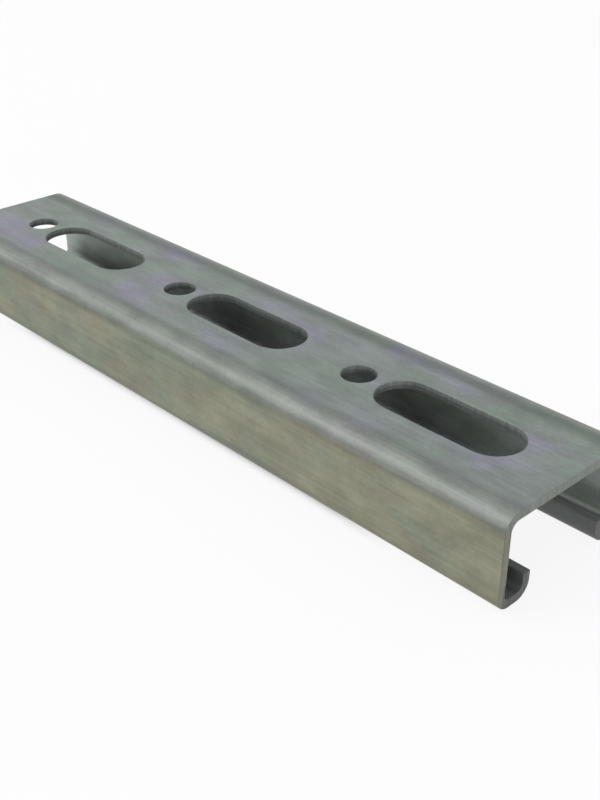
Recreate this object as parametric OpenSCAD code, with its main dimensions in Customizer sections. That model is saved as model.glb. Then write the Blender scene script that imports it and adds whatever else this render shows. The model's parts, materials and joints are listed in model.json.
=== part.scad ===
// C-section mounting rail, roll-formed from one steel strip.
// The web lies on top, the open side faces down, and both edges curl inwards and up into lips.
// X runs along the rail, Y across it, Z up. The origin is at the middle of the footprint.

/* [Section] */
// Overall width across the two side walls
rail_width = 30; // [24:0.5:50]
// Overall height from the foot of the lips to the outer face of the web
rail_height = 16; // [13:0.5:40]
// Thickness of the steel strip
strip_thickness = 1.5; // [1:0.1:2]
// Outer radius of the two bends between web and side walls
web_bend_radius = 3; // [2.2:0.1:4]
// Outer radius of the bends that form the lips
lip_bend_radius = 2.6; // [2.2:0.1:3]
// Outer width of each curled lip, measured in from the side wall
lip_width = 7; // [6.5:0.25:9]
// Height of the lip's free edge above the foot
lip_height = 4.25; // [3.5:0.25:6]

/* [Length] */
// Length of the cut piece
rail_length = 147; // [100:1:2000]

/* [Perforation] */
// Distance from one slot to the next
slot_pitch = 46; // [45:1:100]
// End-to-end length of a slot
slot_length = 27; // [16:0.5:30]
// Width of a slot
slot_width = 10; // [5:0.5:12]
// Diameter of the small round hole beside each slot
pilot_diameter = 6; // [3:0.1:7]
// Solid strip left between a round hole and the slot beside it
pilot_gap = 2; // [2:0.5:5]
// Solid strip left between the last slot and the end of the rail
end_margin = 9; // [4:0.5:20]

/* [Hidden] */

$fn = 96;
punch_overrun = 1;  // how far each punch passes the web's two faces

// number of whole slots, each with its round hole, that fit between the two ends
group_length = slot_length + pilot_gap + pilot_diameter;
group_count = floor((rail_length - 2 * end_margin - group_length) / slot_pitch) + 1;

function slot_centre(i) = rail_length / 2 - end_margin - slot_length / 2 - i * slot_pitch;
function pilot_centre(i) = slot_centre(i) - slot_length / 2 - pilot_gap - pilot_diameter / 2;

// A quarter turn of the strip about [0, 0], in the quadrant that starts at the given angle
module strip_bend(outer_radius, start_angle) {
    rotate(start_angle)
        intersection() {
            difference() {
                circle(r = outer_radius);
                circle(r = outer_radius - strip_thickness);
            }
            square(outer_radius);
        }
}

// Half of the section, from the middle of the web round to the free edge of one lip
module half_section() {
    half_width = rail_width / 2;
    // web
    translate([0, rail_height - strip_thickness])
        square([half_width - web_bend_radius, strip_thickness]);
    translate([half_width - web_bend_radius, rail_height - web_bend_radius])
        strip_bend(web_bend_radius, 0);
    // side wall
    translate([half_width - strip_thickness, lip_bend_radius])
        square([strip_thickness, rail_height - web_bend_radius - lip_bend_radius]);
    translate([half_width - lip_bend_radius, lip_bend_radius])
        strip_bend(lip_bend_radius, 270);
    // foot of the lip
    translate([half_width - lip_width + lip_bend_radius, 0])
        square([lip_width - 2 * lip_bend_radius, strip_thickness]);
    translate([half_width - lip_width + lip_bend_radius, lip_bend_radius])
        strip_bend(lip_bend_radius, 180);
    // upturned edge
    translate([half_width - lip_width, lip_bend_radius])
        square([strip_thickness, lip_height - lip_bend_radius]);
}

module section() {
    half_section();
    mirror([1, 0]) half_section();
}

// Punch for one round-ended slot, on the rail's centre line
module slot_punch(x) {
    depth = strip_thickness + 2 * punch_overrun;
    round_offset = (slot_length - slot_width) / 2;
    translate([x, 0, rail_height + punch_overrun - depth / 2]) {
        cube([2 * round_offset, slot_width, depth], center = true);
        for (side = [-1, 1])
            translate([side * round_offset, 0, 0])
                cylinder(d = slot_width, h = depth, center = true);
    }
}

module pilot_punch(x) {
    depth = strip_thickness + 2 * punch_overrun;
    translate([x, 0, rail_height + punch_overrun - depth / 2])
        cylinder(d = pilot_diameter, h = depth, center = true);
}

module rail() {
    color([0.53, 0.56, 0.55])
        difference() {
            rotate([90, 0, 90])
                translate([0, 0, -rail_length / 2])
                    linear_extrude(height = rail_length)
                        section();
            for (i = [0 : group_count - 1]) {
                slot_punch(slot_centre(i));
                pilot_punch(pilot_centre(i));
            }
        }
}

rail();
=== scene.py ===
import json
import math

import bmesh
import bpy
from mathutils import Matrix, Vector


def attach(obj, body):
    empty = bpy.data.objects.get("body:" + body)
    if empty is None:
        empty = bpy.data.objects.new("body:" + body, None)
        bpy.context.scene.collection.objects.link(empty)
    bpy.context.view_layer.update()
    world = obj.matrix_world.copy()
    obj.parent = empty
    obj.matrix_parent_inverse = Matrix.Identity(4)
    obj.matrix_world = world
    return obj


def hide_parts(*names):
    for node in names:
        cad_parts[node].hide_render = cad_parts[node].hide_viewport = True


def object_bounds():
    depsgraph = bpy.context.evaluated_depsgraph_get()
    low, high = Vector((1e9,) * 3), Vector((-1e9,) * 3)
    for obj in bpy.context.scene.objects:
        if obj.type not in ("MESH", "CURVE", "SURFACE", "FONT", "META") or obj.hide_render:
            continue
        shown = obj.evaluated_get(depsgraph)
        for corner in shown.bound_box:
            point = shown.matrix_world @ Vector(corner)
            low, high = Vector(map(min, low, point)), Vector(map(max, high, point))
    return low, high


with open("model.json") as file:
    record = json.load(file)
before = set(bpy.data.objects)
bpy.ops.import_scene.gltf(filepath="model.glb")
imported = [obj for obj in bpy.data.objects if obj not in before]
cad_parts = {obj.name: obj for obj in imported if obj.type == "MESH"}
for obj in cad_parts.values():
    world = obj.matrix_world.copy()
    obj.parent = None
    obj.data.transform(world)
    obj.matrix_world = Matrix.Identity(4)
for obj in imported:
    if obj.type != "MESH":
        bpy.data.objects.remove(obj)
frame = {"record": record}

cadLow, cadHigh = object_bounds()
halfLength, halfWidth, height = cadHigh
mm = 0.001
closeBy = 0.01 * mm            # lengths that differ by less count as the same

# The rail's outside size comes from the frame and its holes from the record. Lengths are in metres.
railValues = {
    "stripThickness": 1.5 * mm,
    "webBendRadius": 3.0 * mm,      # outer radii
    "lipBendRadius": 2.6 * mm,
    "lipWidth": 7.0 * mm,
    "lipHeight": 4.25 * mm,
    "slitEdgeRadius": 0.2 * mm,     # rolled corners of the strip's two long edges
    "bendSegments": 12,
    "roundSegments": 28,            # per half circle of a punched hole
    "rimRollover": 0.2 * mm,        # the top edge of a hole, drawn in by the punch
    "rimSegments": 4,
    "burrRadius": 0.06 * mm,        # the underside of a hole
    "sawnRadius": 0.09 * mm,        # the edges of the two cut ends
    "fineSegments": 2,
}


def near(first, second):
    return abs(first - second) < closeBy


def roundOff(bm, affect, geom, radius, segments):
    bmesh.ops.bevel(
        bm,
        geom=geom,
        affect=affect,
        offset=radius,
        offset_type="OFFSET",
        segments=segments,
        profile=0.5,
        material=-1,
    )


def newObject(name, bm):
    mesh = bpy.data.meshes.new(name)
    bm.to_mesh(mesh)
    bm.free()
    made = bpy.data.objects.new(name, mesh)
    bpy.context.scene.collection.objects.link(made)
    return made


def sectionCorners(values):
    # the corners of the right half of the section, as (y, z, radius)
    thick, lip, web = values["stripThickness"], values["lipBendRadius"], values["webBendRadius"]
    tip, tipHeight = halfWidth - values["lipWidth"], values["lipHeight"]
    slit = values["slitEdgeRadius"]
    outer = [(tip, tipHeight, slit), (tip, 0, lip), (halfWidth, 0, lip), (halfWidth, height, web)]
    inner = [
        (halfWidth - thick, height - thick, web - thick),
        (halfWidth - thick, thick, lip - thick),
        (tip + thick, thick, lip - thick),
        (tip + thick, tipHeight, slit),
    ]
    return outer, inner


def drawSection(bm, values):
    # one flat face in the shape of the bent strip, at the rail's low X end
    outer, inner = sectionCorners(values)
    mirroredOuter = [(-y, z, radius) for y, z, radius in reversed(outer)]
    mirroredInner = [(-y, z, radius) for y, z, radius in reversed(inner)]
    loop = outer + mirroredOuter + mirroredInner + inner
    corners = [(bm.verts.new((-halfLength, y, z)), radius) for y, z, radius in loop]
    bm.faces.new([vert for vert, radius in corners])
    for radius in sorted({radius for vert, radius in corners}):
        alike = [vert for vert, own in corners if own == radius]
        roundOff(bm, "VERTICES", alike, radius, values["bendSegments"])


def bendStrip(values):
    bm = bmesh.new()
    drawSection(bm, values)
    farEnd = bmesh.ops.extrude_discrete_faces(bm, faces=bm.faces[:])["faces"][0]
    bmesh.ops.translate(bm, vec=(2 * halfLength, 0, 0), verts=farEnd.verts[:])
    # the face itself went to the far end, so the low X end is closed again
    bmesh.ops.edgeloop_fill(bm, edges=[edge for edge in bm.edges if edge.is_boundary])
    bmesh.ops.recalc_face_normals(bm, faces=bm.faces)
    return newObject("slottedRail", bm)


def holesInRecord():
    # (middle x, length, width) of every hole that the record's mounts name
    holes = set()
    for mount in frame["record"]["mounts"]:
        if mount["kind"] != "bolt_pattern":
            continue
        dims = mount["dims"]
        width = 2 * dims["hole_r_mm"]
        length = dims.get("slot_length_mm", width)
        for side in (-0.5, 0.5):
            middle = mount["pos_m"][0] / mm + side * dims["spacing_x_mm"]
            holes.add((round(middle, 3), length, width))
    return sorted(holes)


def addPunch(bm, values, hole):
    # an upright block through the web, its corners rounded until both ends are half circles
    middle, length, width = [size * mm for size in hole]
    thick = values["stripThickness"]
    deep = 3 * thick
    verts = bmesh.ops.create_cube(bm, size=1.0)["verts"]
    bmesh.ops.scale(bm, vec=(length, width, deep), verts=verts)
    bmesh.ops.translate(bm, vec=(middle, 0, height - thick / 2), verts=verts)
    upright = [edge for vert in verts for edge in vert.link_edges
               if edge.other_vert(vert).co.z > vert.co.z + deep / 2]
    roundOff(bm, "EDGES", upright, width / 2, values["roundSegments"] // 2)


def punchHoles(rail, values, holes):
    bm = bmesh.new()
    for hole in holes:
        addPunch(bm, values, hole)
    bmesh.ops.remove_doubles(bm, verts=bm.verts, dist=0.1 * closeBy)
    punches = newObject("punches", bm)
    cut = rail.modifiers.new("punch", "BOOLEAN")
    cut.operation = "DIFFERENCE"
    cut.solver = "EXACT"
    cut.object = punches
    graph = bpy.context.evaluated_depsgraph_get()
    punched = bpy.data.meshes.new_from_object(rail.evaluated_get(graph))
    rail.modifiers.clear()
    rail.data = punched
    bpy.data.objects.remove(punches)


def markCutFaces(rail, values, widest):
    # material 1 on the walls of the holes and on the two ends, 0 elsewhere
    bm = bmesh.new()
    bm.from_mesh(rail.data)
    bmesh.ops.remove_doubles(bm, verts=bm.verts, dist=0.01 * closeBy)
    for face in bm.faces:
        centre = face.calc_center_median()
        onEnd = near(abs(centre.x), halfLength)
        inWeb = centre.z > height - values["stripThickness"]
        inHole = inWeb and abs(face.normal.z) < 0.1 and abs(centre.y) < widest / 2 + closeBy
        face.material_index = int(onEnd or inHole)
    bm.to_mesh(rail.data)
    bm.free()


def cutEdges(bm, axis, place):
    # the edges between cut and rolled faces at a place on an axis, and the two ends' only on X
    found = []
    for edge in bm.edges:
        kinds = {face.material_index for face in edge.link_faces}
        there = all(near(abs(vert.co[axis]), place) for vert in edge.verts)
        onEnd = all(near(abs(vert.co.x), halfLength) for vert in edge.verts)
        if len(kinds) == 2 and there and onEnd == (axis == 0):
            found.append(edge)
    return found


def softenEdges(rail, axis, place, radius, segments):
    # a fresh bmesh each time keeps the order of the faces the same in every run
    bm = bmesh.new()
    bm.from_mesh(rail.data)
    roundOff(bm, "EDGES", cutEdges(bm, axis, place), radius, segments)
    bm.to_mesh(rail.data)
    bm.free()


def makeRail(values):
    holes = holesInRecord()
    widest = max(width for middle, length, width in holes) * mm
    print("bending the strip")
    rail = bendStrip(values)
    print("punching", len(holes), "holes")
    punchHoles(rail, values, holes)
    print("softening the cut edges")
    markCutFaces(rail, values, widest)
    fine = values["fineSegments"]
    softenEdges(rail, 2, height, values["rimRollover"], values["rimSegments"])
    softenEdges(rail, 2, height - values["stripThickness"], values["burrRadius"], fine)
    softenEdges(rail, 0, halfLength, values["sawnRadius"], fine)
    rail.data.shade_smooth()
    rail.modifiers.new("flatFaces", "WEIGHTED_NORMAL")
    return rail


def newMaterial(name):
    material = bpy.data.materials.new(name)
    material.use_nodes = True
    tree = material.node_tree
    return material, tree, tree.nodes["Principled BSDF"]


def plug(tree, socket, value):
    # links a socket, or sets the plain value
    if isinstance(value, bpy.types.NodeSocket):
        tree.links.new(value, socket)
    elif isinstance(value, tuple) and socket.type == "RGBA":
        socket.default_value = (*value, 1.0)
    else:
        socket.default_value = value


def objectAxes(tree):
    coords = tree.nodes.new("ShaderNodeTexCoord")
    axes = tree.nodes.new("ShaderNodeSeparateXYZ")
    plug(tree, axes.inputs["Vector"], coords.outputs["Object"])
    return axes.outputs["X"], axes.outputs["Y"], axes.outputs["Z"]


def maths(tree, operation, first, second=0.0):
    node = tree.nodes.new("ShaderNodeMath")
    node.operation = operation
    plug(tree, node.inputs[0], first)
    plug(tree, node.inputs[1], second)
    return node.outputs["Value"]


def times(tree, *values):
    product = values[0]
    for value in values[1:]:
        product = maths(tree, "MULTIPLY", product, value)
    return product


def ramp(tree, value, fromLow, fromHigh, toLow=0.0, toHigh=1.0):
    # a smooth step from one value to another
    node = tree.nodes.new("ShaderNodeMapRange")
    node.interpolation_type = "SMOOTHSTEP"
    plug(tree, node.inputs["Value"], value)
    node.inputs["From Min"].default_value = fromLow
    node.inputs["From Max"].default_value = fromHigh
    node.inputs["To Min"].default_value = toLow
    node.inputs["To Max"].default_value = toHigh
    return node.outputs["Result"]


def band(tree, value, middle, reach):
    # 1 on a line, falling to 0 at a distance from it
    offset = maths(tree, "ABSOLUTE", maths(tree, "SUBTRACT", value, middle))
    return ramp(tree, offset, 0.0, reach, 1.0, 0.0)


def fromSide(tree, side, unit, start, full):
    # 0 at one distance in from the rail's sides and 1 at another, counted in a unit of length
    return ramp(tree, side, halfWidth - start * unit, halfWidth - full * unit)


def fromTop(tree, z, unit, start, full):
    # the same, counted down from the rail's top
    return ramp(tree, z, height - start * unit, height - full * unit)


def noise(tree, size, stretch=(1.0, 1.0, 1.0), detail=3.0, rough=0.55, shift=(0.0, 0.0, 0.0)):
    # size is about the width of one blotch, in metres
    coords = tree.nodes.new("ShaderNodeTexCoord")
    mapping = tree.nodes.new("ShaderNodeMapping")
    plug(tree, mapping.inputs["Vector"], coords.outputs["Object"])
    mapping.inputs["Scale"].default_value = stretch
    mapping.inputs["Location"].default_value = shift
    node = tree.nodes.new("ShaderNodeTexNoise")
    plug(tree, node.inputs["Vector"], mapping.outputs["Vector"])
    node.inputs["Scale"].default_value = 1.0 / size
    node.inputs["Detail"].default_value = detail
    node.inputs["Roughness"].default_value = rough
    return node.outputs["Fac"]


def mixColours(tree, factor, first, second):
    node = tree.nodes.new("ShaderNodeMix")
    node.data_type = "RGBA"
    plug(tree, node.inputs["Factor"], factor)
    plug(tree, node.inputs["A"], first)
    plug(tree, node.inputs["B"], second)
    return node.outputs["Result"]


def scaleColour(tree, colour, amount):
    node = tree.nodes.new("ShaderNodeVectorMath")
    node.operation = "SCALE"
    plug(tree, node.inputs["Vector"], colour)
    plug(tree, node.inputs["Scale"], amount)
    return node.outputs["Vector"]


def bump(tree, relief, depth, strength, under=None):
    node = tree.nodes.new("ShaderNodeBump")
    node.inputs["Distance"].default_value = depth
    node.inputs["Strength"].default_value = strength
    plug(tree, node.inputs["Height"], relief)
    if under:
        plug(tree, node.inputs["Normal"], under)
    return node.outputs["Normal"]


zincValues = {
    "greenGrey": (0.198, 0.246, 0.214),     # the coat's tints on the web and the lips
    "plainGrey": (0.216, 0.244, 0.236),
    "violetGrey": (0.244, 0.245, 0.296),
    "wallOlive": (0.265, 0.263, 0.191),     # the yellower film outside on the walls
    "wallGreen": (0.226, 0.252, 0.194),
    "bendHighlight": (0.246, 0.261, 0.238),      # painted highlight along the two web bends
    # painted light: a paler coat inside the shaded channel
    "paintedInsideLight": (0.410, 0.450, 0.425),
    "lipGrey": (0.115, 0.124, 0.118),       # darker on the curled lips
    # painted highlight on the rolled top edges of the holes
    "rimHighlight": (0.300, 0.330, 0.312),
    "highlightShare": 0.75,                    # how much of the painted bend highlight shows
    "rimHighlightShare": 0.4,
    "blotchSize": 9.0 * mm,
    "blotchShift": (-0.363, 0.101, -0.176),
    "tintSteps": (0.36, 0.52, 0.68),        # where the blotches turn green, plain and violet
    "filmSteps": (0.35, 0.60),              # where the film turns from green to olive
    "cloudSize": 4.0 * mm,
    "cloudDepth": 0.16,                     # how far the clouds lighten and darken the coat
    "streakSize": 0.4 * mm,
    "streakDepth": 0.10,
    "streakRelief": 0.02 * mm,
    "grainSize": 0.7 * mm,
    "grainDepth": 0.04,
    "waveSize": 4.0 * mm,
    "waveRelief": 0.08 * mm,
    "metallic": 0.6,
    "insideMetallic": 0.35,                 # the coat stays dull where no roller touched it
    "roughness": (0.45, 0.56),              # least and most
}


def insideChannel(tree, side, z, rail):
    # 1 on the strip's inner side, under the web and between the walls
    bend = rail["webBendRadius"]
    return times(tree, fromSide(tree, side, bend, 0.2, 0.4), fromTop(tree, z, bend, 0.2, 0.4))


def curledLips(tree, side, z, rail):
    # 1 on the two lips, apart from the foot that they lie on
    thick, lip = rail["stripThickness"], rail["lipHeight"]
    return times(tree, fromSide(tree, side, thick, 1.02, 1.3),
                 ramp(tree, z, lip + 0.3 * thick, lip - 0.1 * thick),
                 ramp(tree, z, 0.1 * thick, 0.5 * thick))


def tintedCoat(tree, values, side, z, rail):
    # the passivated coat in blotches, yellower outside on the walls, with painted light making it paler
    # inside the shaded channel
    bend = rail["webBendRadius"]
    blotch = noise(tree, values["blotchSize"], (0.6, 1.0, 1.0), 2.0, 0.5, values["blotchShift"])
    green, plain, violet = values["tintSteps"]
    colour = mixColours(tree, ramp(tree, blotch, green, plain), values["greenGrey"], values["plainGrey"])
    colour = mixColours(tree, ramp(tree, blotch, plain, violet), colour, values["violetGrey"])
    film = mixColours(tree, ramp(tree, blotch, *values["filmSteps"]), values["wallGreen"],
                      values["wallOlive"])
    outside = times(tree, fromSide(tree, side, bend, 0.35, 0.1), fromTop(tree, z, bend, 0.2, 1.0))
    colour = mixColours(tree, outside, colour, film)
    colour = mixColours(tree, insideChannel(tree, side, z, rail), colour, values["paintedInsideLight"])
    return mixColours(tree, curledLips(tree, side, z, rail), colour, values["lipGrey"])


# Painted shade lines along the bends, beside the painted highlights. A line has its middle and its reach
# to either side, in web bend radii: in from a side on the web, down from the top on a wall, up from the
# floor at a foot.
bendShadeValues = {
    "frontLine": (1.15, 0.6),
    "backLine": (1.4, 0.8),
    "backTimes": 1.6,               # this line is that much darker than the others
    "wallLine": (0.78, 0.45),
    "footLine": (0.5, 0.5),
    "lineDepth": 0.22,
}


def paintedBendHighlights(tree, side, z, rail):
    # a painted highlight on the two web bends
    bend = rail["webBendRadius"]
    return times(tree, fromSide(tree, side, bend, 1.25, 0.85), fromTop(tree, z, bend, 0.9, 0.5))


def paintedBendShade(tree, values, y, z, rail):
    # 1 on the plain coat, less on the painted shade lines beside the bends
    bend = rail["webBendRadius"]
    side = maths(tree, "ABSOLUTE", y)
    frontIn, frontReach = values["frontLine"]
    backIn, backReach = values["backLine"]
    wallDown, wallReach = values["wallLine"]
    footUp, footReach = values["footLine"]
    front = band(tree, y, frontIn * bend - halfWidth, frontReach * bend)
    back = band(tree, y, halfWidth - backIn * bend, backReach * bend)
    web = maths(tree, "ADD", front, times(tree, back, values["backTimes"]))
    web = times(tree, web, fromTop(tree, z, bend, 0.3, 0.1))
    wall = band(tree, z, height - wallDown * bend, wallReach * bend)
    wall = times(tree, wall, fromSide(tree, side, bend, 0.3, 0.1))
    foot = band(tree, z, footUp * bend, footReach * bend)
    foot = times(tree, foot, fromSide(tree, side, bend, 0.5, 0.2))
    lines = maths(tree, "ADD", maths(tree, "ADD", web, wall), foot)
    return maths(tree, "SUBTRACT", 1.0, times(tree, lines, values["lineDepth"]))


def rolledRims(tree, side, z, rail):
    # the drawn-in top edges of the holes, the only places just under the web's flat top
    rollover = rail["rimRollover"]
    onRim = fromTop(tree, z, rollover, 0.1, 0.4)
    notUnder = fromTop(tree, z, rollover, 3, 2)
    notBend = ramp(tree, side, halfWidth / 2, halfWidth / 2 - rail["stripThickness"])
    return times(tree, onRim, notUnder, notBend)


def shade(tree, pattern, low, high, depth):
    # darkens and lightens by a depth, as a pattern goes from low to high
    return ramp(tree, pattern, low, high, 1.0 - depth, 1.0 + depth)


def zincPlatedSteel(values, rail):
    material, tree, shader = newMaterial("zincPlatedSteel")
    x, y, z = objectAxes(tree)
    side = maths(tree, "ABSOLUTE", y)
    colour = tintedCoat(tree, values, side, z, rail)
    # the painted highlight on the bends
    paintedHighlight = times(tree, paintedBendHighlights(tree, side, z, rail), values["highlightShare"])
    colour = mixColours(tree, paintedHighlight, colour, values["bendHighlight"])
    # a painted highlight on the holes' rolled rims
    rimHighlights = times(tree, rolledRims(tree, side, z, rail), values["rimHighlightShare"])
    colour = mixColours(tree, rimHighlights, colour, values["rimHighlight"])

    # streaks and waves run along the rail, and clouds are a little drawn out
    streaks = noise(tree, values["streakSize"], (0.02, 1.0, 1.0), 4.0, 0.6)
    grain = noise(tree, values["grainSize"], (1.0, 1.0, 1.0), 2.0, 0.5)
    clouds = noise(tree, values["cloudSize"], (0.5, 1.0, 1.0), 3.0, 0.6)
    # the painted shade lines beside the bends, times the random tone of the coat
    tone = times(tree, paintedBendShade(tree, bendShadeValues, y, z, rail),
                 shade(tree, streaks, 0.25, 0.75, values["streakDepth"]),
                 shade(tree, grain, 0.25, 0.75, values["grainDepth"]),
                 shade(tree, clouds, 0.3, 0.7, values["cloudDepth"]))
    plug(tree, shader.inputs["Base Color"], scaleColour(tree, colour, tone))

    plug(tree, shader.inputs["Roughness"], ramp(tree, clouds, 0.3, 0.7, *values["roughness"]))
    inside = insideChannel(tree, side, z, rail)
    plug(tree, shader.inputs["Metallic"],
         ramp(tree, inside, 0.0, 1.0, values["metallic"], values["insideMetallic"]))
    fine = bump(tree, streaks, values["streakRelief"], 0.5)
    waves = noise(tree, values["waveSize"], (0.12, 1.0, 1.0), 2.0, 0.5)
    plug(tree, shader.inputs["Normal"], bump(tree, waves, values["waveRelief"], 0.5, fine))
    return material


cutValues = {
    "burnished": (0.235, 0.262, 0.248),     # the smooth upper part of a punched wall
    "fractured": (0.145, 0.158, 0.150),     # the torn lower part
    "webEnd": (0.205, 0.224, 0.205),        # the sawn ends of the web, the walls and the lips
    "wallEnd": (0.205, 0.203, 0.155),
    # painted shade on the lips' sawn ends
    "lipEndShade": (0.110, 0.110, 0.110),
    "tearSize": 0.55 * mm,
    "tearReach": 0.1,                       # how ragged the torn edge is, in strip thicknesses
    "tearDown": (0.6, 0.45),                # where it lies, in strip thicknesses from the top
    "sawSize": 0.4 * mm,
    "sawDepth": 0.18,
    "sawRelief": 0.04 * mm,
    "metallic": 0.4,
    "roughness": (0.45, 0.65),
}


def sawnEnds(tree, values, side, z, rail):
    # the two cut ends, yellower on the walls, and darker on the lips with painted shade
    thick, lip = rail["stripThickness"], rail["lipHeight"]
    onWeb = fromTop(tree, z, rail["webBendRadius"], 1.0, 0.5)
    colour = mixColours(tree, onWeb, values["wallEnd"], values["webEnd"])
    onLip = times(tree, fromSide(tree, side, thick, 0.5, 1.0),
                  ramp(tree, z, lip + 0.3 * thick, lip))
    return mixColours(tree, onLip, colour, values["lipEndShade"])


def cutSteel(values, rail):
    # bare metal on the walls of the holes and on the sawn ends
    material, tree, shader = newMaterial("cutSteel")
    x, y, z = objectAxes(tree)
    thick = rail["stripThickness"]
    reach = values["tearReach"] * thick
    tear = noise(tree, values["tearSize"], (1.0, 1.0, 0.25), 4.0, 0.65)
    raggedZ = maths(tree, "ADD", z, ramp(tree, tear, 0.2, 0.8, -reach, reach))
    smooth = fromTop(tree, raggedZ, thick, *values["tearDown"])
    colour = mixColours(tree, smooth, values["fractured"], values["burnished"])
    onEnd = ramp(tree, maths(tree, "ABSOLUTE", x), halfLength - 0.4 * mm, halfLength - 0.2 * mm)
    ends = sawnEnds(tree, values, maths(tree, "ABSOLUTE", y), z, rail)
    colour = mixColours(tree, onEnd, colour, ends)
    saw = noise(tree, values["sawSize"], (1.0, 1.0, 0.05), 3.0, 0.6)
    tone = shade(tree, saw, 0.25, 0.75, values["sawDepth"])
    plug(tree, shader.inputs["Base Color"], scaleColour(tree, colour, tone))
    plug(tree, shader.inputs["Roughness"], ramp(tree, tear, 0.3, 0.7, *values["roughness"]))
    shader.inputs["Metallic"].default_value = values["metallic"]
    plug(tree, shader.inputs["Normal"], bump(tree, saw, values["sawRelief"], 0.6))
    return material


studioValues = {
    "floorColour": (0.92, 0.92, 0.92),
    "floorHalf": 3.0,
    "floorDrop": 0.02 * mm,
    "floorGlow": 0.87,              # how far the floor beside the rail is shown as white
    "shadeLength": (45 * mm, 18 * mm),      # how far in from the ends it turns to plain floor
    "shadeWidth": (3 * mm, -0.5 * mm),      # and how far in from the sides
    "worldStrength": 0.80,
    "keyWatts": 2.4,
    "keySize": 0.50,
    "keyDistance": 1.0,
    "keyDirection": (-0.45, -0.54, 0.71),
}


def backdropRay(tree):
    # 1 for the rays that see the plain white backdrop, straight on, mirrored or through glass
    path = tree.nodes.new("ShaderNodeLightPath")
    seen = maths(tree, "MAXIMUM", path.outputs["Is Camera Ray"], path.outputs["Is Glossy Ray"])
    return maths(tree, "MAXIMUM", seen, path.outputs["Is Transmission Ray"])


def mixShaders(tree, factor, plain, shown):
    node = tree.nodes.new("ShaderNodeMixShader")
    plug(tree, node.inputs["Fac"], factor)
    plug(tree, node.inputs[1], plain)
    plug(tree, node.inputs[2], shown)
    return node.outputs["Shader"]


def paleFloor(values):
    # shows as white, though not deep under the rail, and keeps the shadow beside it
    material, tree, shader = newMaterial("paleFloor")
    plug(tree, shader.inputs["Base Color"], values["floorColour"])
    plug(tree, shader.inputs["Roughness"], 0.9)
    x, y, z = objectAxes(tree)
    deepIn, fullIn = values["shadeLength"]
    nearEnd = ramp(tree, maths(tree, "ABSOLUTE", x), halfLength - deepIn, halfLength - fullIn)
    deepIn, fullIn = values["shadeWidth"]
    beside = ramp(tree, maths(tree, "ABSOLUTE", y), halfWidth - deepIn, halfWidth - fullIn)
    share = times(tree, maths(tree, "MAXIMUM", nearEnd, beside), values["floorGlow"])
    glow = tree.nodes.new("ShaderNodeEmission")
    shown = mixShaders(tree, times(tree, share, backdropRay(tree)),
                       shader.outputs["BSDF"], glow.outputs["Emission"])
    plug(tree, tree.nodes["Material Output"].inputs["Surface"], shown)
    return material


def makeFloor(values):
    bm = bmesh.new()
    bmesh.ops.create_grid(bm, x_segments=1, y_segments=1, size=values["floorHalf"])
    bmesh.ops.translate(bm, vec=(0, 0, -values["floorDrop"]), verts=bm.verts)
    floor = newObject("floor", bm)
    floor.data.materials.append(paleFloor(values))


def makeWorld(values):
    world = bpy.data.worlds.new("studio")
    bpy.context.scene.world = world
    world.use_nodes = True
    tree = world.node_tree
    plain = tree.nodes["Background"]
    plug(tree, plain.inputs["Color"], (1.0, 1.0, 1.0))
    plug(tree, plain.inputs["Strength"], values["worldStrength"])
    white = tree.nodes.new("ShaderNodeBackground")
    plug(tree, white.inputs["Color"], (1.0, 1.0, 1.0))
    shown = mixShaders(tree, backdropRay(tree), plain.outputs["Background"],
                       white.outputs["Background"])
    plug(tree, tree.nodes["World Output"].inputs["Surface"], shown)


def makeKeyLight(values):
    lamp = bpy.data.lights.new("keyLight", "AREA")
    lamp.energy = values["keyWatts"]
    lamp.size = values["keySize"]
    key = bpy.data.objects.new("keyLight", lamp)
    bpy.context.scene.collection.objects.link(key)
    towards = Vector(values["keyDirection"]).normalized()
    key.location = (cadLow + cadHigh) / 2 + towards * values["keyDistance"]
    key.rotation_euler = towards.to_track_quat("Z", "Y").to_euler()


cameraValues = {
    "azimuth": 46.5,                # degrees round from the front
    "elevation": 29.6,
    "target": (22.0 * mm, -3.06 * mm, 8.0 * mm),
    "distance": 192.3 * mm,
    "lens": 51.66,
    "clipStart": 5 * mm,
}


def makeCamera(values):
    azimuth, elevation = math.radians(values["azimuth"]), math.radians(values["elevation"])
    back = Vector((
        math.sin(azimuth) * math.cos(elevation),
        -math.cos(azimuth) * math.cos(elevation),
        math.sin(elevation),
    ))
    data = bpy.data.cameras.new("camera")
    data.lens = values["lens"]
    data.clip_start = values["clipStart"]
    camera = bpy.data.objects.new("camera", data)
    bpy.context.scene.collection.objects.link(camera)
    camera.location = Vector(values["target"]) + back * values["distance"]
    camera.rotation_euler = back.to_track_quat("Z", "Y").to_euler()
    bpy.context.scene.camera = camera


rail = makeRail(railValues)
print("finishing the rail in zinc")
rail.data.materials.append(zincPlatedSteel(zincValues, railValues))
rail.data.materials.append(cutSteel(cutValues, railValues))
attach(rail, "root")
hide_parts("rail")

print("setting the floor, the light and the camera")
bpy.context.scene.view_settings.view_transform = "Standard"
makeFloor(studioValues)
makeWorld(studioValues)
makeKeyLight(studioValues)
makeCamera(cameraValues)
